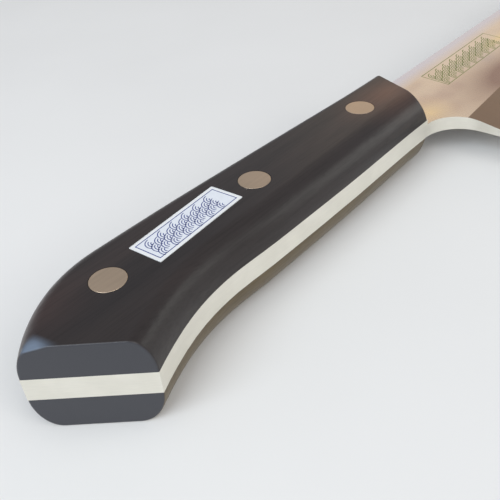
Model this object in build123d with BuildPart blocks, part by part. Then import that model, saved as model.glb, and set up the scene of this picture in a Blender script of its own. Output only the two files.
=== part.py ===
from build123d import *
import os
from math import cos, radians, sin, tan

# A western-handled deba knife, lying on its left side.
# +X runs from the butt to the tip, +Y from the edge to the spine, +Z out of the right-hand face.
# Every drawing starts from the rivet line: u runs along it from the rear rivet towards the tip, and
# v across it towards the spine. The origin is under the middle of the knife's box, on the surface
# that the left scale's flat face lies on.

# Handle, in plan
rivet_pitch = 39.7                # from one rivet to the next
front_setback = 15.45             # from the front rivet to the scales' front, on the belly side
butt_setback = 20.8               # from the rear rivet back to the butt's corner
butt_corner_rise = 0.0            # from the rivet line up to that corner
butt_toe_setback = 5.6            # from the rear rivet back to the butt's toe, on the belly side
butt_toe_drop = 17.45             # from the rivet line down to the toe
belly_offset = 10.3               # from the rivet line down to the belly at the front
back_swell = 2.9                  # how far the handle's back stands above the blade's spine
belly_swell = 0.75                # how far the palm swell hangs below the front of the belly

# Handle, through its thickness
tang_thickness = 5.0
scale_thickness = 7.3
back_round_butt = 4.8             # width of the rounded side along the back, at the butt
back_round_front = 3.4            # and at the front
belly_round_butt = 4.0            # width of the rounded side along the belly, at the butt
belly_round_front = 6.4           # and at the front
left_belly_round_butt = 4.9       # the width at the butt on the left scale, which is sanded rounder
front_slant = 21.5                # degrees that the scales' front slants back in plan
front_lean = 23.5                 # degrees that it leans back away from the tang
facet_reach = 7.1                 # the sanded facet at the butt's corner: its length along the butt,
facet_width = 4.0                 # its width over the flat face
facet_depth = 1.9                 # and its depth down the butt, both at the corner
rim_round = 0.5                   # radius of the sanded rims round the front, the butt and the facet

# Blade
spine_offset = 9.24               # from the rivet line up to the spine
heel_height = 45.5                # spine to edge at the heel
edge_length = 165.0               # heel to tip
choil_radius = 10.15
choil_setback = 0.2               # from the scales' front to the start of the choil's round
edge_rise = 1.7                   # degrees that the straight part of the edge closes on the spine
edge_straight = 50.0              # length of that straight part
edge_turn_forward = 112.0         # where the edge sweeps up more sharply, from the heel forward
edge_turn_rise = 7.2              # and from the heel up
tip_drop = 5.6                    # from the spine's line down to the tip
spine_fall = 72.0                 # length of the last part of the spine, which falls to the tip
flat_taper = 3.65                 # degrees that the right face closes on the left one
plunge_land = 0.4                 # full thickness left in front of the scales
bevel_angle = 9.3                 # degrees of the bevel, which is ground on the right face alone
edge_flat = 0.15                  # thickness left at the very edge

# Rivets, each a pair of halves driven into each other, in a row from the butt forward
rivet_names = ("rear", "middle", "front")
rivet_head_diameter = 7.0
rivet_head_height = 2.6
rivet_pin_diameter = 3.2
rivet_sleeve_diameter = 4.6
rivet_pin_clearance = 0.04        # round the pin
rivet_hole_clearance = 0.06       # round the heads and the sleeve
rivet_end_gap = 0.5               # past the pin's end and past the sleeve's end

# Paper label
label_length = 24.5
label_width = 8.1
label_thickness = 0.12
label_forward = 20.7              # from the rear rivet to the label's centre
label_rise = 0.7                  # from the rivet line up to it
label_tilt = 4.2                  # degrees

overrun = 8.0                     # how far a cut or a blank runs past what it meets
side_stations = 18                # spaces between the stations of each side curve
round_stations = 6                # and between the levels of each rounded side
same_way = 0.0001                 # how far two unit directions may differ and count as one

# What follows from the sizes above
tang_bottom = scale_thickness
tang_top = tang_bottom + tang_thickness
handle_thickness = tang_top + scale_thickness
rivet_places = {name: number * rivet_pitch for number, name in enumerate(rivet_names)}
front_u = rivet_places["front"] + front_setback
front_reach = (spine_offset + belly_offset) * tan(radians(front_slant))
choil_u = front_u + choil_setback
heel_u = choil_u + choil_radius
edge_v = spine_offset - heel_height
tip_u = heel_u + edge_length
tip_v = spine_offset - tip_drop
handle_length = front_u + butt_setback
butt_corner = Vector(-butt_setback, butt_corner_rise)
butt_toe = Vector(-butt_toe_setback, -butt_toe_drop)

# The back: shares of the handle's length from the butt, and of the swell above the spine's line
back_shares = (
    (0.188, 0.95), (0.25, 1.0), (0.35, 0.95), (0.49, 0.78), (0.62, 0.57), (0.77, 0.31), (0.90, 0.08),
)
# Its fall to the butt, in shares of the way from the corner up to the first of those stations
fall_shares = ((-0.10, -0.25), (0.0, 0.0), (0.16, 0.315), (0.38, 0.615), (0.60, 0.82), (0.80, 0.94))
# The belly: shares of the handle's length from the butt, and of the swell below the front's line
belly_shares = ((0.90, 0.12), (0.78, 0.62), (0.66, 0.97), (0.55, 1.0), (0.43, 0.90), (0.35, 0.65))
# Its hook to the butt, in shares of the way from the last of those stations down to the toe
hook_shares = (
    (0.12, 0.03), (0.26, 0.09), (0.42, 0.205), (0.64, 0.445), (0.82, 0.70), (1.0, 1.0), (1.1, 1.18),
)


def back_stations():
    """The handle's back, from past the butt's corner to the scales' front."""
    swell = [
        Vector(handle_length * along - butt_setback, spine_offset + back_swell * up)
        for along, up in back_shares
    ]
    rise = swell[0] - butt_corner
    fall = [butt_corner + Vector(rise.X * along, rise.Y * up) for along, up in fall_shares]
    return fall + swell + [Vector(front_u + front_reach, spine_offset)]


def belly_stations():
    """The handle's belly, from the scales' front to past the butt's toe."""
    swell = [
        Vector(handle_length * along - butt_setback, -belly_offset - belly_swell * down)
        for along, down in belly_shares
    ]
    run = butt_toe - swell[-1]
    hook = [swell[-1] + Vector(run.X * along, run.Y * down) for along, down in hook_shares]
    return [Vector(front_u, -belly_offset)] + swell + hook


# Both side curves run with the handle on their right
back_curve = Spline(*back_stations())
belly_curve = Spline(*belly_stations())

# The frame: the knife's box in plan puts the origin under its middle
centre_u = (tip_u - butt_setback) / 2
centre_v = (back_curve.bounding_box().max.Y + edge_v) / 2


def at(u, v, height):
    """A place of the drawing, in the knife's frame."""
    return Vector(u - centre_u, v - centre_v, height)


def level(height):
    """The drawing's own plane, raised to a height."""
    return Plane(origin=at(0, 0, height))


butt_along = (butt_toe - butt_corner).normalized()
butt_inward = Vector(-butt_along.Y, butt_along.X)
butt_face = Plane(origin=at(butt_corner.X, butt_corner.Y, 0), z_dir=-butt_inward)


def moved_inward(curve, first_width, last_width, share):
    """Stations along a side curve, each moved into the handle by a share of the width there."""
    stations = []
    for count in range(side_stations + 1):
        along = count / side_stations
        heading = curve % along
        width = first_width + (last_width - first_width) * along
        stations.append(curve @ along + Vector(heading.Y, -heading.X) * width * share)
    return stations


# Blade and full tang, forged and ground in one piece
edge_heading = Vector(1, 0).rotate(Axis.Z, edge_rise)
edge_start = Vector(heel_u, edge_v)


def draw_edge(run_past):
    """The edge from heel to tip, carried past both ends by a length."""
    straight = Line(edge_start - edge_heading * run_past, edge_start + edge_heading * edge_straight)
    turn = Vector(heel_u + edge_turn_forward, edge_v + edge_turn_rise)
    rise = TangentArc(straight @ 1, turn, tangent=straight % 1)
    sweep_up = TangentArc(rise @ 1, (tip_u, tip_v), tangent=rise % 1)
    if run_past:
        Line(sweep_up @ 1, sweep_up @ 1 + (sweep_up % 1) * run_past)


with BuildPart() as blade:
    with BuildSketch(level(tang_bottom)):
        with BuildLine():
            add(back_curve)
            spine = Line(back_curve @ 1, (tip_u - spine_fall, spine_offset))
            TangentArc(spine @ 1, (tip_u, tip_v), tangent=spine % 1)
            draw_edge(0)
            heel = Line(edge_start, (heel_u, -belly_offset - choil_radius))
            choil = TangentArc(heel @ 1, (choil_u, -belly_offset), tangent=heel % 1)
            Line(choil @ 1, belly_curve @ 0)
            add(belly_curve)
            Line(belly_curve @ 1, back_curve @ 0)
        make_face()
    extrude(amount=tang_thickness)
    split(bisect_by=butt_face, keep=Keep.BOTTOM)

    # The right face tapers towards the edge, from a plunge line just in front of the scales
    taper_plane = Plane(
        origin=at(front_u + plunge_land, spine_offset, tang_top),
        x_dir=(1, 0, 0),
        z_dir=(0, -tan(radians(flat_taper)), 1),
    )
    with BuildSketch(taper_plane):
        with BuildLine():
            past_edge = -heel_height - overrun
            past_tip = edge_length + choil_radius + overrun
            plunge_top = (front_reach + overrun * tan(radians(front_slant)), overrun)
            plunge_foot = (front_reach + past_edge * tan(radians(front_slant)), past_edge)
            Polyline(plunge_top, plunge_foot, (past_tip, past_edge), (past_tip, overrun), close=True)
        make_face()
    extrude(amount=overrun, mode=Mode.SUBTRACT)

    # The bevel follows the edge at a steady angle, up to where it meets the tapered face
    with BuildLine() as edge_line:
        draw_edge(overrun)
    edge_path = level(tang_bottom).from_local_coords(edge_line.wire())
    bevel_reach = tang_thickness / tan(radians(bevel_angle))
    bevel_start = Plane(
        origin=edge_path @ 0,
        x_dir=(-edge_heading.Y, edge_heading.X, 0),
        z_dir=edge_path % 0,
    )
    with BuildSketch(bevel_start):
        with BuildLine():
            Polyline(
                (-overrun, edge_flat - overrun * tan(radians(bevel_angle))),
                (bevel_reach, edge_flat + tang_thickness),
                (bevel_reach, tang_thickness + overrun),
                (-overrun, tang_thickness + overrun),
                close=True,
            )
        make_face()
    sweep(path=edge_path, mode=Mode.SUBTRACT)

    with Locations(level(tang_top)):
        with Locations(*[(u, 0) for u in rivet_places.values()]):
            Hole(rivet_sleeve_diameter / 2 + rivet_hole_clearance)
blade.part.label = "blade"


# Scales: each side rounds over a quarter of an ellipse from the tang out to the flat face
def make_scale(name, tang_face, outward):
    """One scale, built outward from its face of the tang: up for the right one, down for the left."""
    blank_end = front_u + front_reach + overrun
    flat_height = tang_face + outward * scale_thickness
    round_at_butt = belly_round_butt if outward > 0 else left_belly_round_butt
    with BuildPart() as scale:
        for count in range(round_stations + 1):
            turn = radians(90 * count / round_stations)
            inward = 1 - cos(turn)
            with BuildSketch(level(tang_face + outward * scale_thickness * sin(turn))):
                with BuildLine():
                    back = Spline(*moved_inward(back_curve, back_round_butt, back_round_front, inward))
                    belly = Spline(*moved_inward(belly_curve, belly_round_front, round_at_butt, inward))
                    top_side = Line(back @ 1, (blank_end, (back @ 1).Y))
                    low_side = Line(belly @ 0, (blank_end, (belly @ 0).Y))
                    Line(top_side @ 1, low_side @ 1)
                    Line(belly @ 1, back @ 0)
                make_face()
        loft()

        # The front slants back in plan, and leans back away from the tang
        front_face = Plane(
            origin=at(front_u, -belly_offset, tang_face),
            z_dir=(1, -tan(radians(front_slant)), outward * tan(radians(front_lean))),
        )
        split(bisect_by=front_face, keep=Keep.BOTTOM)
        split(bisect_by=butt_face, keep=Keep.BOTTOM)

        # The right scale's corner at the butt is sanded down to a facet
        sanded_ends = [front_face, butt_face]
        if outward > 0:
            facet_end = butt_corner + butt_along * facet_reach
            facet_fall = butt_along * (facet_depth / facet_reach) + butt_inward * (facet_depth / facet_width)
            facet = Plane(
                origin=at(facet_end.X, facet_end.Y, flat_height), z_dir=Vector(0, 0, 1) - facet_fall
            )
            split(bisect_by=facet, keep=Keep.BOTTOM)
            sanded_ends.append(facet)

        # The sanded ends have soft rims, except where they meet the tang
        sanded_ways = [cut.z_dir for cut in sanded_ends]
        sanded = scale.faces().filter_by(GeomType.PLANE).filter_by(
            lambda face: any((face.normal_at() - way).length < same_way for way in sanded_ways)
        )
        rims = sanded.edges().filter_by(lambda edge: abs((edge @ 0.5).Z - tang_face) > rim_round)
        fillet(rims, rim_round)

        with Locations(Plane(origin=at(0, 0, flat_height), x_dir=(1, 0, 0), z_dir=(0, 0, outward))):
            with Locations(*[(u, 0) for u in rivet_places.values()]):
                CounterBoreHole(
                    radius=rivet_sleeve_diameter / 2 + rivet_hole_clearance,
                    counter_bore_radius=rivet_head_diameter / 2 + rivet_hole_clearance,
                    counter_bore_depth=rivet_head_height,
                )
    scale.part.label = name
    return scale


right_scale = make_scale("right_scale", tang_top, 1)
left_scale = make_scale("left_scale", tang_bottom, -1)


# Rivets: flush heads on both scales, the pin of one half held in the sleeve of the other
right_seat = handle_thickness - rivet_head_height
left_seat = rivet_head_height


def make_pin_half(name, u):
    """The half whose head lies in the right scale."""
    with BuildPart() as half:
        with BuildSketch(level(right_seat)):
            with Locations((u, 0)):
                Circle(rivet_head_diameter / 2)
        extrude(amount=rivet_head_height)
        with BuildSketch(level(right_seat)):
            with Locations((u, 0)):
                Circle(rivet_pin_diameter / 2)
        extrude(amount=left_seat + rivet_end_gap - right_seat)
    half.part.label = name
    return half


def make_sleeve_half(name, u):
    """The half whose head lies in the left scale."""
    with BuildPart() as half:
        with BuildSketch(level(0)):
            with Locations((u, 0)):
                Circle(rivet_head_diameter / 2)
        extrude(amount=rivet_head_height)
        with BuildSketch(level(left_seat)):
            with Locations((u, 0)):
                Circle(rivet_sleeve_diameter / 2)
                Circle(rivet_pin_diameter / 2 + rivet_pin_clearance, mode=Mode.SUBTRACT)
        extrude(amount=right_seat - rivet_end_gap - left_seat)
    half.part.label = name
    return half


rivet_halves = []
for place, u in rivet_places.items():
    rivet_halves.append(make_pin_half(f"{place}_rivet_pin_half", u))
    rivet_halves.append(make_sleeve_half(f"{place}_rivet_sleeve_half", u))


# Paper label, stuck on the right scale between the rear and the middle rivet
with BuildPart() as handle_label:
    with BuildSketch(level(handle_thickness)):
        with Locations(Location((label_forward, label_rise, 0), label_tilt)):
            Rectangle(label_length, label_width)
    extrude(amount=label_thickness)
handle_label.part.label = "handle_label"


os.makedirs("parts", exist_ok=True)
for piece in [blade, right_scale, left_scale, *rivet_halves, handle_label]:
    export_step(piece.part, f"parts/{piece.part.label}.step")
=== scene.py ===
from math import acos, atan, cos, degrees, pi, radians, sin, tan

import bmesh
import bpy
from mathutils import Matrix, Vector


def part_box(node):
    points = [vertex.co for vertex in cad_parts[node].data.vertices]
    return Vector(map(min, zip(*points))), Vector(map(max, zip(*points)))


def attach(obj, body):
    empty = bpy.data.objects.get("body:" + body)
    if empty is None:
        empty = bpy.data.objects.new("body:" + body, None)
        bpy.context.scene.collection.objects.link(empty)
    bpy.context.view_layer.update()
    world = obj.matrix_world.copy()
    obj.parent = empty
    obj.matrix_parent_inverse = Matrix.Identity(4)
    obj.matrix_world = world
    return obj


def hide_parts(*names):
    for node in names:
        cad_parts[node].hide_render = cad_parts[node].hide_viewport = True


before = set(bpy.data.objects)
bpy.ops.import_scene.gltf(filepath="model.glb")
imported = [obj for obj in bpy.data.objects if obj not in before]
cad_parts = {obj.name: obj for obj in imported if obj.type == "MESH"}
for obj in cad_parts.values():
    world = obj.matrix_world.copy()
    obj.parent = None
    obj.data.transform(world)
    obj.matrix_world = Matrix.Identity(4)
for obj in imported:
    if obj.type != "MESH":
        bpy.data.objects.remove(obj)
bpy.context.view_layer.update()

# A western-handled deba knife. +X runs from the butt to the tip, +Y from the edge to the spine and
# +Z out of the right-hand face. Sizes are in metres.
MM = 0.001

TANG_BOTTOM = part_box("blade")[0].z
TANG_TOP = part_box("blade")[1].z
HANDLE_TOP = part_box("right_scale")[1].z
SPINE_Y = 21.287 * MM
RIVET_Y = 12.047 * MM
RIVET_PLACES = {"rear": -124.7 * MM, "middle": -85.0 * MM, "front": -45.3 * MM}
RIVET_HEAD_RADIUS = 3.5 * MM
RIVET_HEAD_HEIGHT = 2.6 * MM
RIVET_END_GAP = 0.5 * MM
PIN_RADIUS = 1.6 * MM
SLEEVE_RADIUS = 2.3 * MM
SLEEVE_BORE = 1.64 * MM
CHEEK_TAPER = radians(3.65)
CHEEK_NORMAL = Vector((0, -tan(CHEEK_TAPER), 1)).normalized()
BUTT_NORMAL = Vector((-0.7541, -0.6568, 0))         # out of the butt's flat end
BUTT_REACH = BUTT_NORMAL.dot(Vector((-145.5, 12.047, 0)) * MM)
FACET_NORMAL = Vector((-0.5340, -0.1102, 1)).normalized()   # out of its upper corner's facet
FACET_REACH = FACET_NORMAL.dot(Vector((-140.84, 6.693, 19.6)) * MM)
LABEL_LENGTH = 24.5 * MM
LABEL_WIDTH = 8.1 * MM
LABEL_PLACE = (-104.0 * MM, 12.747 * MM)
LABEL_TILT = radians(4.2)
LABEL_MARGIN = 0.8 * MM
LABEL_THICKNESS = 0.1 * MM
ETCHING_Y = 12.4 * MM
CLOSE = 0.01 * MM                   # places nearer than this are the same
WAVE_RINGS = (1.0, 0.68, 0.36)      # each wave's arcs, as shares of its radius


# Bench work
def clear_bench():
    """Nothing stays selected from the last piece."""
    if bpy.context.mode != "OBJECT":
        bpy.ops.object.mode_set(mode="OBJECT")
    bpy.ops.object.select_all(action="DESELECT")


def take_up(piece):
    """The piece is the only one selected."""
    clear_bench()
    piece.select_set(True)
    bpy.context.view_layer.objects.active = piece


def from_frame(node, name):
    """A copy of a frame node's mesh, its loose triangles merged and its flats made whole."""
    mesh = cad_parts[node].data.copy()
    mesh.materials.clear()
    piece = bpy.data.objects.new(name, mesh)
    bpy.context.scene.collection.objects.link(piece)
    mesh.name = name
    take_up(piece)
    bpy.ops.object.mode_set(mode="EDIT")
    bpy.ops.mesh.select_all(action="SELECT")
    bpy.ops.mesh.remove_doubles(threshold=0.001 * MM)
    bpy.ops.mesh.dissolve_limited(angle_limit=radians(0.2))
    bpy.ops.object.mode_set(mode="OBJECT")
    if mesh.has_custom_normals:
        bpy.ops.mesh.customdata_custom_splitnormals_clear()
    return piece


def ease_edges(piece, picks, width, segments):
    """Rounds the edges that picks(edge) chooses."""
    take_up(piece)
    bpy.ops.object.mode_set(mode="EDIT")
    bpy.ops.mesh.select_mode(type="EDGE")
    bpy.ops.mesh.select_all(action="DESELECT")
    work = bmesh.from_edit_mesh(piece.data)
    work.normal_update()
    for edge in work.edges:
        edge.select = len(edge.link_faces) == 2 and picks(edge)
    bmesh.update_edit_mesh(piece.data)
    bpy.ops.mesh.bevel(offset=width, segments=segments, affect="EDGES", clamp_overlap=True)
    bpy.ops.mesh.select_all(action="DESELECT")
    bpy.ops.object.mode_set(mode="OBJECT")


def smooth(piece, angle):
    """Smooth shading that keeps flats flat, and edges sharper than an angle sharp."""
    take_up(piece)
    bpy.ops.object.shade_smooth_by_angle(angle=radians(angle))
    weigh = piece.modifiers.new("flats", "WEIGHTED_NORMAL")
    weigh.keep_sharp = True
    bpy.ops.object.modifier_apply(modifier=weigh.name)


def settle(piece, slot_name, *nodes):
    """The piece rides with the knife, and stands for its frame nodes."""
    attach(piece, "root")
    if nodes:
        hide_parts(*nodes)
    return piece


def turn_of(edge):
    return degrees(edge.calc_face_angle(0))


def near_rivet(point, reach):
    return any(
        (point.x - x) ** 2 + (point.y - RIVET_Y) ** 2 < reach ** 2 for x in RIVET_PLACES.values()
    )


# Finishes
class Finish:
    """A material's nodes, built up step by step."""

    def __init__(self, name):
        self.material = bpy.data.materials.new(name)
        self.material.use_nodes = True
        self.tree = self.material.node_tree
        self.shader = self.tree.nodes["Principled BSDF"]
        self.places = self.node("ShaderNodeTexCoord").outputs["Object"]

    def node(self, kind, settings=None, **feeds):
        """A new node: its settings, then its inputs as feed names them."""
        made = self.tree.nodes.new(kind)
        for name, value in (settings or {}).items():
            setattr(made, name, value)
        for name, value in feeds.items():
            self.feed(made, name.replace("_", " "), value)
        return made

    def feed(self, made, name, value):
        """Links or sets an input: i and its number, or its own name."""
        numbered = name[0] == "i" and name[1:].isdigit()
        socket = made.inputs[int(name[1:]) if numbered else name]
        if isinstance(value, bpy.types.NodeSocket):
            self.tree.links.new(value, socket)
        else:
            socket.default_value = value

    def surface(self, **feeds):
        for name, value in feeds.items():
            self.feed(self.shader, name.replace("_", " "), value)

    def stretched(self, scale, turn=(0, 0, 0)):
        """The piece's own places, turned and scaled for a pattern."""
        return self.node(
            "ShaderNodeMapping", Vector=self.places, Scale=scale, Rotation=turn
        ).outputs["Vector"]

    def noise(self, places, scale, detail=3.0, roughness=0.55):
        return self.node(
            "ShaderNodeTexNoise", Vector=places, Scale=scale, Detail=detail, Roughness=roughness
        ).outputs["Fac"]

    def steps(self, value, stops):
        """A colour ramp: (position, colour) stops."""
        ramp = self.node("ShaderNodeValToRGB", Fac=value)
        ramp.color_ramp.interpolation = "EASE"
        points = ramp.color_ramp.elements
        for number, (position, colour) in enumerate(stops):
            point = points[number] if number < 2 else points.new(position)
            point.position = position
            point.color = (*colour, 1)
        return ramp.outputs["Color"]

    def spread(self, value, low, high, to_low, to_high):
        """A value between two limits, carried to a new range."""
        return self.node(
            "ShaderNodeMapRange", i0=value, i1=low, i2=high, i3=to_low, i4=to_high
        ).outputs[0]

    def blend(self, share, first, second, how="MIX"):
        """Two colours mixed, or multiplied, by a share of the second."""
        made = self.node("ShaderNodeMix", {"data_type": "RGBA", "blend_type": how})
        self.feed(made, "i0", share)
        self.feed(made, "i6", first if isinstance(first, bpy.types.NodeSocket) else (*first, 1))
        self.feed(made, "i7", second if isinstance(second, bpy.types.NodeSocket) else (*second, 1))
        return made.outputs[2]

    def along(self, direction):
        """How far a place lies along a direction."""
        return self.node(
            "ShaderNodeVectorMath", {"operation": "DOT_PRODUCT"}, i0=self.places, i1=direction
        ).outputs["Value"]

    def glow(self, centre, reach):
        """One at a place of the piece, falling to nothing at a distance each way."""
        ball = self.node("ShaderNodeTexGradient", {"gradient_type": "QUADRATIC_SPHERE"})
        turned = self.node(
            "ShaderNodeMapping", {"vector_type": "TEXTURE"},
            Vector=self.places, Location=[v * MM for v in centre], Scale=[v * MM for v in reach],
        )
        self.feed(ball, "Vector", turned.outputs["Vector"])
        return ball.outputs["Fac"]

    def bump(self, height, strength, distance):
        return self.node(
            "ShaderNodeBump", Height=height, Strength=strength, Distance=distance
        ).outputs["Normal"]


def ground_steel(name, colour, lines, gloss, streak, metal=1.0):
    """Steel ground along one direction: lines holds the pattern's scale along each axis."""
    steel = Finish(name)
    fine = steel.noise(steel.stretched(lines), 1.0, 4.0, 0.7)
    broad = steel.noise(steel.places, 160.0, 2.0, 0.5)
    tone = steel.steps(fine, [(0.30, [v * (1 - streak) for v in colour]), (0.70, colour)])
    cloudy = steel.steps(broad, [(0.35, (0.96, 0.96, 0.955)), (0.65, (1, 1, 1))])
    steel.surface(
        Base_Color=steel.blend(1.0, tone, cloudy, "MULTIPLY"),
        Metallic=metal,
        Roughness=steel.spread(fine, 0.3, 0.7, gloss - 0.05, gloss + 0.08),
        Normal=steel.bump(fine, 0.25, 0.02 * MM),
    )
    return steel


def tang_rim_finish():
    """The tang's rim and the choil: ground along the rim, warm ivory white."""
    return ground_steel("tang_rim", (0.86, 0.83, 0.74), (260, 260, 4200), 0.42, 0.05, 0.7).material


def cheek_finish():
    """The blade's right face above the bevel: a satin polish with soft warm and cool clouds, their warm
    tone partly a painted warm reflection, and painted reflections: gold and gilt patches, a darker rose
    patch and a pale lavender band along the spine.
    """
    steel = Finish("polished_cheek")
    lines = steel.noise(steel.stretched((2600, 60, 60)), 1.0, 4.0, 0.7)
    clouds = steel.noise(steel.stretched((42, 70, 42), (0, 0, 0.5)), 1.0, 2.0, 0.5)
    colour = steel.steps(clouds, [
        (0.30, (0.69, 0.58, 0.51)), (0.48, (0.82, 0.72, 0.61)), (0.62, (0.86, 0.77, 0.66)),
        (0.80, (0.76, 0.70, 0.67)),
    ])
    # Painted reflections: a gold patch near the handle, a darker rose patch and a gilt streak.
    painted_gold_reflection = steel.glow((-23.5, 4.0, 11.0), (13, 9, 9))
    colour = steel.blend(painted_gold_reflection, colour, (0.96, 0.80, 0.52))
    painted_rose_reflection = steel.spread(steel.glow((12, -2, 11), (42, 17, 14)), 0.0, 0.6, 0.0, 1.0)
    colour = steel.blend(painted_rose_reflection, colour, (0.36, 0.26, 0.23))
    painted_gilt_reflection = steel.glow((33, 11, 12), (20, 4, 12))
    colour = steel.blend(painted_gilt_reflection, colour, (0.96, 0.82, 0.52))
    # Painted pale lavender reflection in a band along the spine.
    painted_sky_reflection = steel.spread(steel.along((0, 1, 0)), SPINE_Y - 5.2 * MM, SPINE_Y - 1.2 * MM, 0.0, 0.9)
    colour = steel.blend(painted_sky_reflection, colour, (0.78, 0.82, 0.98))
    streaks = steel.steps(lines, [(0.3, (0.96, 0.955, 0.95)), (0.7, (1, 1, 1))])
    steel.surface(
        Base_Color=steel.blend(1.0, colour, streaks, "MULTIPLY"),
        Metallic=1.0,
        Roughness=steel.spread(lines, 0.3, 0.7, 0.24, 0.33),
        Normal=steel.bump(lines, 0.05, 0.005 * MM),
    )
    return steel.material


def bevel_finish():
    """The bevel: ground square to the edge, browner and rougher than the cheek."""
    return ground_steel("ground_bevel", (0.32, 0.235, 0.175), (2600, 60, 60), 0.34, 0.1).material


def flat_back_finish():
    """The left face, ground flat along its length."""
    return ground_steel("flat_back", (0.74, 0.72, 0.70), (45, 1500, 45), 0.34, 0.1).material


def scale_finish():
    """Resin-pressed laminated wood, black-brown, with fine grain along the handle, and painted light: a
    red sheen at the front of the top, a beige reflection on the left scale's belly side, a blue
    highlight on the butt's corner facet and a lighter cool grey on the butt face. A lighter reddish
    patch lies near the rear of the spine side.
    """
    wood = Finish("pressed_wood")
    grain = wood.noise(wood.stretched((90, 2600, 2000)), 1.0, 5.0, 0.65)
    bands = wood.noise(wood.stretched((12, 120, 100), (0, 0, 0.05)), 1.0, 2.0, 0.5)
    colour = wood.steps(bands, [
        (0.28, (0.022, 0.018, 0.018)), (0.50, (0.029, 0.023, 0.022)), (0.74, (0.040, 0.029, 0.027)),
    ])
    # Painted red sheen on the front of the top face.
    painted_red_sheen = wood.glow((-35, 11, 18), (24, 11, 8))
    colour = wood.blend(painted_red_sheen, colour, (0.17, 0.080, 0.050))
    # Painted beige reflection on the left scale, strongest towards its belly side.
    depth = wood.along((0, 0, 1))
    low = wood.spread(depth, TANG_BOTTOM, TANG_BOTTOM + 1 * MM, 1.0, 0.0)
    belly_side = wood.spread(wood.along((0, 1, 0)), 7 * MM, 14 * MM, 1.0, 0.0)
    painted_belly_reflection = wood.blend(belly_side, colour, (0.125, 0.092, 0.048))
    colour = wood.blend(low, colour, painted_belly_reflection)
    # A lighter reddish patch near the rear of the spine side.
    rear = wood.glow((-138, 17, 16), (18, 14, 12))
    colour = wood.blend(rear, colour, (0.060, 0.032, 0.028))
    pores = wood.steps(grain, [(0.36, (0.80, 0.80, 0.80)), (0.56, (1, 1, 1))])
    colour = wood.blend(1.0, colour, pores, "MULTIPLY")
    # Painted blue highlight on the butt's corner facet, held to the facet's plane.
    painted_facet_highlight = wood.spread(wood.glow((-142.6, 9.2, 18.4), (7, 5.5, 4)), 0.0, 0.6, 0.0, 0.95)
    painted_facet_highlit = wood.blend(painted_facet_highlight, colour, (0.145, 0.185, 0.245))
    facet = wood.spread(wood.along(FACET_NORMAL), FACET_REACH - 0.6 * MM, FACET_REACH, 0.0, 1.0)
    colour = wood.blend(facet, colour, painted_facet_highlit)
    # The butt face is painted a lighter cool grey for the cool light that falls on it.
    butt = wood.spread(
        wood.along(BUTT_NORMAL), BUTT_REACH - 0.25 * MM, BUTT_REACH - 0.05 * MM, 0.0, 1.0
    )
    colour = wood.blend(butt, colour, (0.052, 0.053, 0.061))
    wood.surface(
        Base_Color=colour,
        Roughness=wood.spread(grain, 0.3, 0.7, 0.36, 0.29),
        Normal=wood.bump(grain, 0.12, 0.015 * MM),
        Specular_IOR_Level=0.31,
    )
    return wood.material


def rivet_finish():
    """Pale nickel-brass, sanded flush along the handle."""
    return ground_steel("nickel_brass", (0.64, 0.50, 0.37), (90, 1800, 90), 0.36, 0.08).material


def paper_finish(name, colour):
    """Coated paper with a faint tooth."""
    paper = Finish(name)
    tooth = paper.noise(paper.stretched((900, 900, 900)), 1.0, 3.0, 0.6)
    paper.surface(
        Base_Color=paper.steps(tooth, [(0.3, [v * 0.96 for v in colour]), (0.7, colour)]),
        Roughness=paper.spread(tooth, 0.3, 0.7, 0.42, 0.55),
        Normal=paper.bump(tooth, 0.1, 0.01 * MM),
    )
    return paper.material


def ink_finish():
    """Dark blue printing ink."""
    ink = Finish("blue_ink")
    wear = ink.noise(ink.stretched((2500, 2500, 2500)), 1.0, 3.0, 0.6)
    ink.surface(
        Base_Color=ink.steps(wear, [(0.35, (0.030, 0.045, 0.19)), (0.70, (0.065, 0.09, 0.30))]),
        Roughness=ink.spread(wear, 0.3, 0.7, 0.4, 0.5),
    )
    return ink.material


def etched_finish():
    """Steel etched to a matt green-grey."""
    etched = Finish("etched_grey")
    wear = etched.noise(etched.stretched((1600, 1600, 1600)), 1.0, 3.0, 0.6)
    etched.surface(
        Base_Color=etched.steps(wear, [(0.35, (0.22, 0.28, 0.08)), (0.70, (0.34, 0.37, 0.16))]),
        Metallic=0.8,
        Roughness=etched.spread(wear, 0.3, 0.7, 0.42, 0.55),
    )
    return etched.material


# Blade
def on_cheek(normal):
    return normal.angle(CHEEK_NORMAL) < radians(0.6)


def is_side(face):
    return abs(face.normal.z) < 0.5


def face_height(face):
    heights = [vert.co.z for vert in face.verts]
    return max(heights) - min(heights)


def is_shinogi(edge):
    """The line between the cheek and the bevel."""
    first, second = edge.link_faces
    if is_side(first) or is_side(second) or min(first.normal.z, second.normal.z) < 0:
        return False
    return on_cheek(first.normal) != on_cheek(second.normal) and turn_of(edge) > 4.0


def is_rim(edge):
    """An edge round the blade, away from the cutting edge and the rivet holes."""
    if turn_of(edge) < 35 or near_rivet(edge.verts[0].co, 3.2 * MM):
        return False
    return all(not is_side(face) or face_height(face) > 1.0 * MM for face in edge.link_faces)


def make_blade():
    blade = from_frame("blade", "blade_and_tang")
    ease_edges(blade, is_shinogi, 0.35 * MM, 2)
    ease_edges(blade, is_rim, 0.13 * MM, 2)
    for finish in (tang_rim_finish(), cheek_finish(), bevel_finish(), flat_back_finish()):
        blade.data.materials.append(finish)
    for face in blade.data.polygons:
        if abs(face.normal.z) < 0.8:
            face.material_index = 0
        elif face.normal.z < 0:
            face.material_index = 3
        elif face.normal.angle(CHEEK_NORMAL) > radians(3.66) and face.center.x > -30 * MM:
            face.material_index = 2
        else:
            face.material_index = 1
    smooth(blade, 20)
    return settle(blade, "blade_steel", "blade")


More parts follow.
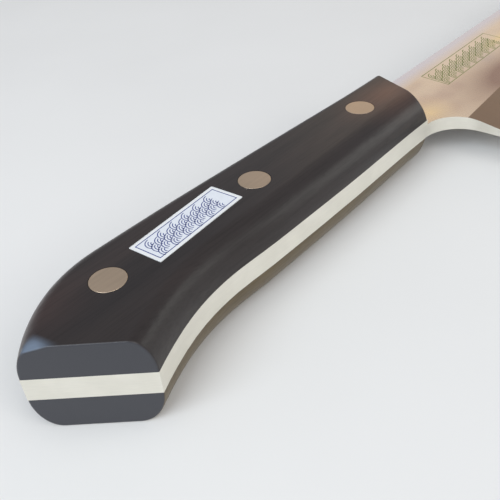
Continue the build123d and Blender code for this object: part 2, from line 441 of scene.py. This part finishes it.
# Scales
def make_scale(node):
    scale = from_frame(node, node.replace("scale", "handle_scale"))
    scale.data.materials.append(scale_finish_made)
    smooth(scale, 35)
    return settle(scale, "scale_wood", node)


# Rivets
def select_faces(piece, picks):
    """In edit mode, only the faces that picks(face) chooses are selected."""
    bpy.ops.mesh.select_mode(type="FACE")
    bpy.ops.mesh.select_all(action="DESELECT")
    work = bmesh.from_edit_mesh(piece.data)
    for face in work.faces:
        face.select = picks(face)
    work.select_flush_mode()
    bmesh.update_edit_mesh(piece.data)


def select_edges(piece, picks):
    bpy.ops.mesh.select_mode(type="EDGE")
    bpy.ops.mesh.select_all(action="DESELECT")
    work = bmesh.from_edit_mesh(piece.data)
    for edge in work.edges:
        edge.select = picks(edge)
    work.select_flush_mode()
    bmesh.update_edit_mesh(piece.data)


def start(primitive, name, **settings):
    """A primitive at its size and place, ready in edit mode."""
    clear_bench()
    primitive(**settings)
    piece = bpy.context.active_object
    piece.name = name
    piece.data.name = name
    bpy.ops.object.transform_apply(location=True, rotation=True, scale=True)
    bpy.ops.object.mode_set(mode="EDIT")
    bpy.ops.mesh.select_all(action="DESELECT")
    return piece


def make_rivet_half(name, x, head_z, inner_z, shank_end, shank_radius, bore_radius):
    """A head flush with its scale, and a pin or a sleeve that reaches to shank_end."""
    half = start(
        bpy.ops.mesh.primitive_cylinder_add, name, vertices=96, radius=RIVET_HEAD_RADIUS,
        depth=abs(head_z - inner_z), location=(x, RIVET_Y, (head_z + inner_z) / 2),
    )

    def is_inner_face(face):
        return abs(face.calc_center_median().z - inner_z) < CLOSE and abs(face.normal.z) > 0.9

    select_faces(half, is_inner_face)
    bpy.ops.mesh.inset(thickness=RIVET_HEAD_RADIUS - shank_radius)
    bpy.ops.mesh.extrude_region_move(TRANSFORM_OT_translate={"value": (0, 0, shank_end - inner_z)})
    if bore_radius:
        bpy.ops.mesh.inset(thickness=shank_radius - bore_radius)
        bpy.ops.mesh.extrude_region_move(TRANSFORM_OT_translate={"value": (0, 0, inner_z - shank_end)})
    select_edges(
        half,
        lambda edge: all(abs(vert.co.z - head_z) < CLOSE for vert in edge.verts),
    )
    bpy.ops.mesh.bevel(offset=0.12 * MM, segments=3)
    bpy.ops.object.mode_set(mode="OBJECT")
    half.data.materials.append(rivet_finish_made)
    smooth(half, 50)
    return half


# Label and mark
def arc_strip(radius, width, foot):
    """A flat strip along an arc over the origin, which stops short of its feet by an angle."""
    strip = start(
        bpy.ops.mesh.primitive_plane_add, "arc", size=width, location=(radius, width / 2, 0),
    )
    bpy.ops.mesh.select_mode(type="VERT")
    work = bmesh.from_edit_mesh(strip.data)
    for vert in work.verts:
        vert.select = vert.co.y > width / 2
    work.select_flush_mode()
    bmesh.update_edit_mesh(strip.data)
    bpy.ops.mesh.delete(type="VERT")
    bpy.ops.mesh.select_all(action="SELECT")
    bpy.ops.mesh.spin(steps=20, angle=pi - 2 * foot, center=(0, 0, 0), axis=(0, 0, 1))
    bpy.ops.object.mode_set(mode="OBJECT")
    lowest = min((vert.co for vert in strip.data.vertices), key=lambda co: co.y)
    if lowest.y < -width:
        strip.data.transform(Matrix.Rotation(pi, 4, "Z"))
    strip.data.transform(Matrix.Rotation(foot, 4, "Z"))
    return strip


def join(name, parts):
    clear_bench()
    for part in parts:
        part.select_set(True)
    bpy.context.view_layer.objects.active = parts[0]
    bpy.ops.object.join()
    whole = bpy.context.active_object
    whole.name = name
    whole.data.name = name
    return whole


def make_waves(name, radius, line, columns, rows):
    """The old sea-wave pattern: rows of nested arcs, each row half hidden by the one in front."""
    arcs = []
    for share in WAVE_RINGS:
        hidden = acos((share + 1 / (4 * share)) / 5 ** 0.5) - atan(1 / 2)
        arcs.append(arc_strip(radius * share, line, hidden))
    wave = join("wave", arcs)
    waves = []
    for row in range(rows):
        for column in range(columns - row % 2):
            copy = wave.copy()
            copy.data = wave.data.copy()
            bpy.context.scene.collection.objects.link(copy)
            across = (2 * column - (columns - 1) + row % 2) * radius
            up = (row - (rows - 1) / 2) * radius / 2 - radius * 0.45
            copy.data.transform(Matrix.Translation((across, up, 0)))
            waves.append(copy)
    bpy.data.objects.remove(wave)
    return join(name, waves)


def make_frame_line(name, length, width, line):
    """A thin printed frame."""
    border = start(bpy.ops.mesh.primitive_plane_add, name, size=1)
    bpy.ops.mesh.select_all(action="SELECT")
    bpy.ops.transform.resize(value=(length, width, 1))
    bpy.ops.mesh.inset(thickness=line)
    bpy.ops.mesh.delete(type="FACE")
    bpy.ops.object.mode_set(mode="OBJECT")
    return border


def lay_on(piece, thickness, place, turn=0.0, lean=0.0):
    """The flat drawing gets its thickness, and is turned and laid in its place."""
    take_up(piece)
    bpy.ops.object.mode_set(mode="EDIT")
    bpy.ops.mesh.select_all(action="SELECT")
    bpy.ops.mesh.normals_make_consistent(inside=False)
    bpy.ops.object.mode_set(mode="OBJECT")
    if piece.data.polygons[0].normal.z < 0:
        piece.data.flip_normals()
    wall = piece.modifiers.new("thickness", "SOLIDIFY")
    wall.thickness = thickness
    wall.offset = 1
    bpy.ops.object.modifier_apply(modifier=wall.name)
    piece.data.transform(
        Matrix.Translation(place) @ Matrix.Rotation(lean, 4, "X") @ Matrix.Rotation(turn, 4, "Z")
    )


def make_label():
    """Paper with clipped corners, a printed frame and a plain wave pattern."""
    paper = start(bpy.ops.mesh.primitive_plane_add, "paper_label", size=1)
    bpy.ops.mesh.select_all(action="SELECT")
    bpy.ops.transform.resize(value=(LABEL_LENGTH, LABEL_WIDTH, 1))
    bpy.ops.mesh.inset(thickness=LABEL_MARGIN)
    bpy.ops.mesh.select_mode(type="VERT")
    work = bmesh.from_edit_mesh(paper.data)
    for vert in work.verts:
        vert.select = abs(vert.co.x) > (LABEL_LENGTH - LABEL_MARGIN) / 2
    work.select_flush_mode()
    bmesh.update_edit_mesh(paper.data)
    bpy.ops.mesh.bevel(offset=0.2 * MM, segments=3, affect="VERTICES")
    bpy.ops.object.mode_set(mode="OBJECT")
    paper.data.materials.append(paper_finish("label_paper", (0.82, 0.83, 0.83)))
    paper.data.materials.append(paper_finish("label_tint", (0.77, 0.80, 0.85)))
    middle = min(paper.data.polygons, key=lambda face: face.center.length)
    middle.material_index = 1
    place = (*LABEL_PLACE, HANDLE_TOP)
    lay_on(paper, LABEL_THICKNESS, place, LABEL_TILT)
    settle(paper, "label_paper", "handle_label")

    frame_line = make_frame_line(
        "label_frame", LABEL_LENGTH - 2 * LABEL_MARGIN, LABEL_WIDTH - 2 * LABEL_MARGIN, 0.2 * MM
    )
    waves = make_waves("label_waves", 1.72 * MM, 0.19 * MM, 6, 5)
    ink = ink_finish()
    for drawing in (frame_line, waves):
        drawing.data.materials.append(ink)
        on_paper = (*LABEL_PLACE, HANDLE_TOP + LABEL_THICKNESS)
        lay_on(drawing, 0.01 * MM, on_paper, LABEL_TILT)
        settle(drawing, "label_paper")


def make_etching():
    """A faint etched band of waves on the cheek, along the spine."""
    waves = make_waves("etched_waves", 2.1 * MM, 0.26 * MM, 9, 5)
    lines = make_frame_line("etched_frame", 39.5 * MM, 8.6 * MM, 0.22 * MM)
    etched = etched_finish()
    place = (13.5 * MM, ETCHING_Y, TANG_TOP + (ETCHING_Y - SPINE_Y) * tan(CHEEK_TAPER))
    for drawing in (waves, lines):
        drawing.data.materials.append(etched)
        lay_on(drawing, 0.006 * MM, place, 0.0, CHEEK_TAPER)
        settle(drawing, "blade_steel")


# Stage
def make_floor():
    clear_bench()
    bpy.ops.mesh.primitive_plane_add(size=6, location=(0, 0, 0))
    floor = bpy.context.active_object
    floor.name = "floor"
    pale = Finish("pale_floor")
    mottle = pale.noise(pale.stretched((9, 9, 9)), 1.0, 3.0, 0.5)
    pale.surface(
        Base_Color=pale.steps(mottle, [(0.3, (0.80, 0.79, 0.77)), (0.7, (0.83, 0.82, 0.80))]),
        Roughness=0.7,
        Specular_IOR_Level=0.2,
    )
    floor.data.materials.append(pale.material)


def aim(place, target):
    """A rotation that looks from one place to another."""
    return (Vector(target) - Vector(place)).to_track_quat("-Z", "Y").to_euler()


def add_softbox(name, place, target, size, watts, colour):
    lamp = bpy.data.lights.new(name, "AREA")
    lamp.shape = "RECTANGLE"
    lamp.size, lamp.size_y = size
    lamp.energy = watts
    lamp.color = colour
    holder = bpy.data.objects.new(name, lamp)
    holder.location = place
    holder.rotation_euler = aim(place, target)
    holder.visible_camera = False
    bpy.context.scene.collection.objects.link(holder)


def light_stage():
    world = bpy.data.worlds.new("studio")
    bpy.context.scene.world = world
    world.use_nodes = True
    back = world.node_tree.nodes["Background"]
    back.inputs["Color"].default_value = (0.93, 0.95, 1.0, 1)
    back.inputs["Strength"].default_value = 0.5
    add_softbox("front_light", (-0.15, -0.85, 0.75), (-0.05, 0, 0), (0.7, 0.7), 4.0, (1.0, 0.98, 0.95))
    add_softbox("butt_light", (-0.85, -0.02, 0.70), (-0.12, 0, 0), (0.8, 0.5), 6.5, (0.84, 0.92, 1.0))
    add_softbox("belly_light", (0.75, -0.62, 0.24), (-0.05, 0, 0), (0.7, 0.36), 1.2, (0.97, 1.0, 0.94))
    add_softbox("blade_light", (0.90, 0.36, 0.48), (0.0, 0, 0), (0.7, 0.45), 0.38, (1.0, 0.68, 0.34))


def place_camera():
    """The photograph's own viewpoint, worked out from the rivets, the label and the tang."""
    yaw, pitch, roll = radians(43.99), radians(37.20), radians(5.61)
    forward = Vector((cos(yaw) * cos(pitch), sin(yaw) * cos(pitch), -sin(pitch)))
    level_right = Vector((sin(yaw), -cos(yaw), 0))
    level_down = forward.cross(level_right)
    right = cos(roll) * level_right + sin(roll) * level_down
    down = cos(roll) * level_down - sin(roll) * level_right
    turn = Matrix((right, -down, -forward)).transposed()
    lens = bpy.data.cameras.new("photo_view")
    lens.sensor_width = 36
    lens.lens = 48.25
    lens.clip_start = 0.005
    lens.clip_end = 20
    camera = bpy.data.objects.new("photo_view", lens)
    camera.matrix_world = Matrix.Translation((-173.145 * MM, -69.807 * MM, 92.602 * MM)) @ turn.to_4x4()
    bpy.context.scene.collection.objects.link(camera)
    bpy.context.scene.camera = camera


scale_finish_made = scale_finish()
rivet_finish_made = rivet_finish()

make_blade()
make_scale("right_scale")
make_scale("left_scale")
for place, x in RIVET_PLACES.items():
    pin = make_rivet_half(
        f"{place}_rivet_pin", x, HANDLE_TOP, HANDLE_TOP - RIVET_HEAD_HEIGHT,
        RIVET_HEAD_HEIGHT + RIVET_END_GAP, PIN_RADIUS, 0,
    )
    settle(pin, "rivet_metal", f"{place}_rivet_pin_half")
    sleeve = make_rivet_half(
        f"{place}_rivet_sleeve", x, 0.0, RIVET_HEAD_HEIGHT,
        HANDLE_TOP - RIVET_HEAD_HEIGHT - RIVET_END_GAP, SLEEVE_RADIUS, SLEEVE_BORE,
    )
    settle(sleeve, "rivet_metal", f"{place}_rivet_sleeve_half")
make_label()
make_etching()

make_floor()
light_stage()
place_camera()
bpy.context.scene.view_settings.view_transform = "Standard"
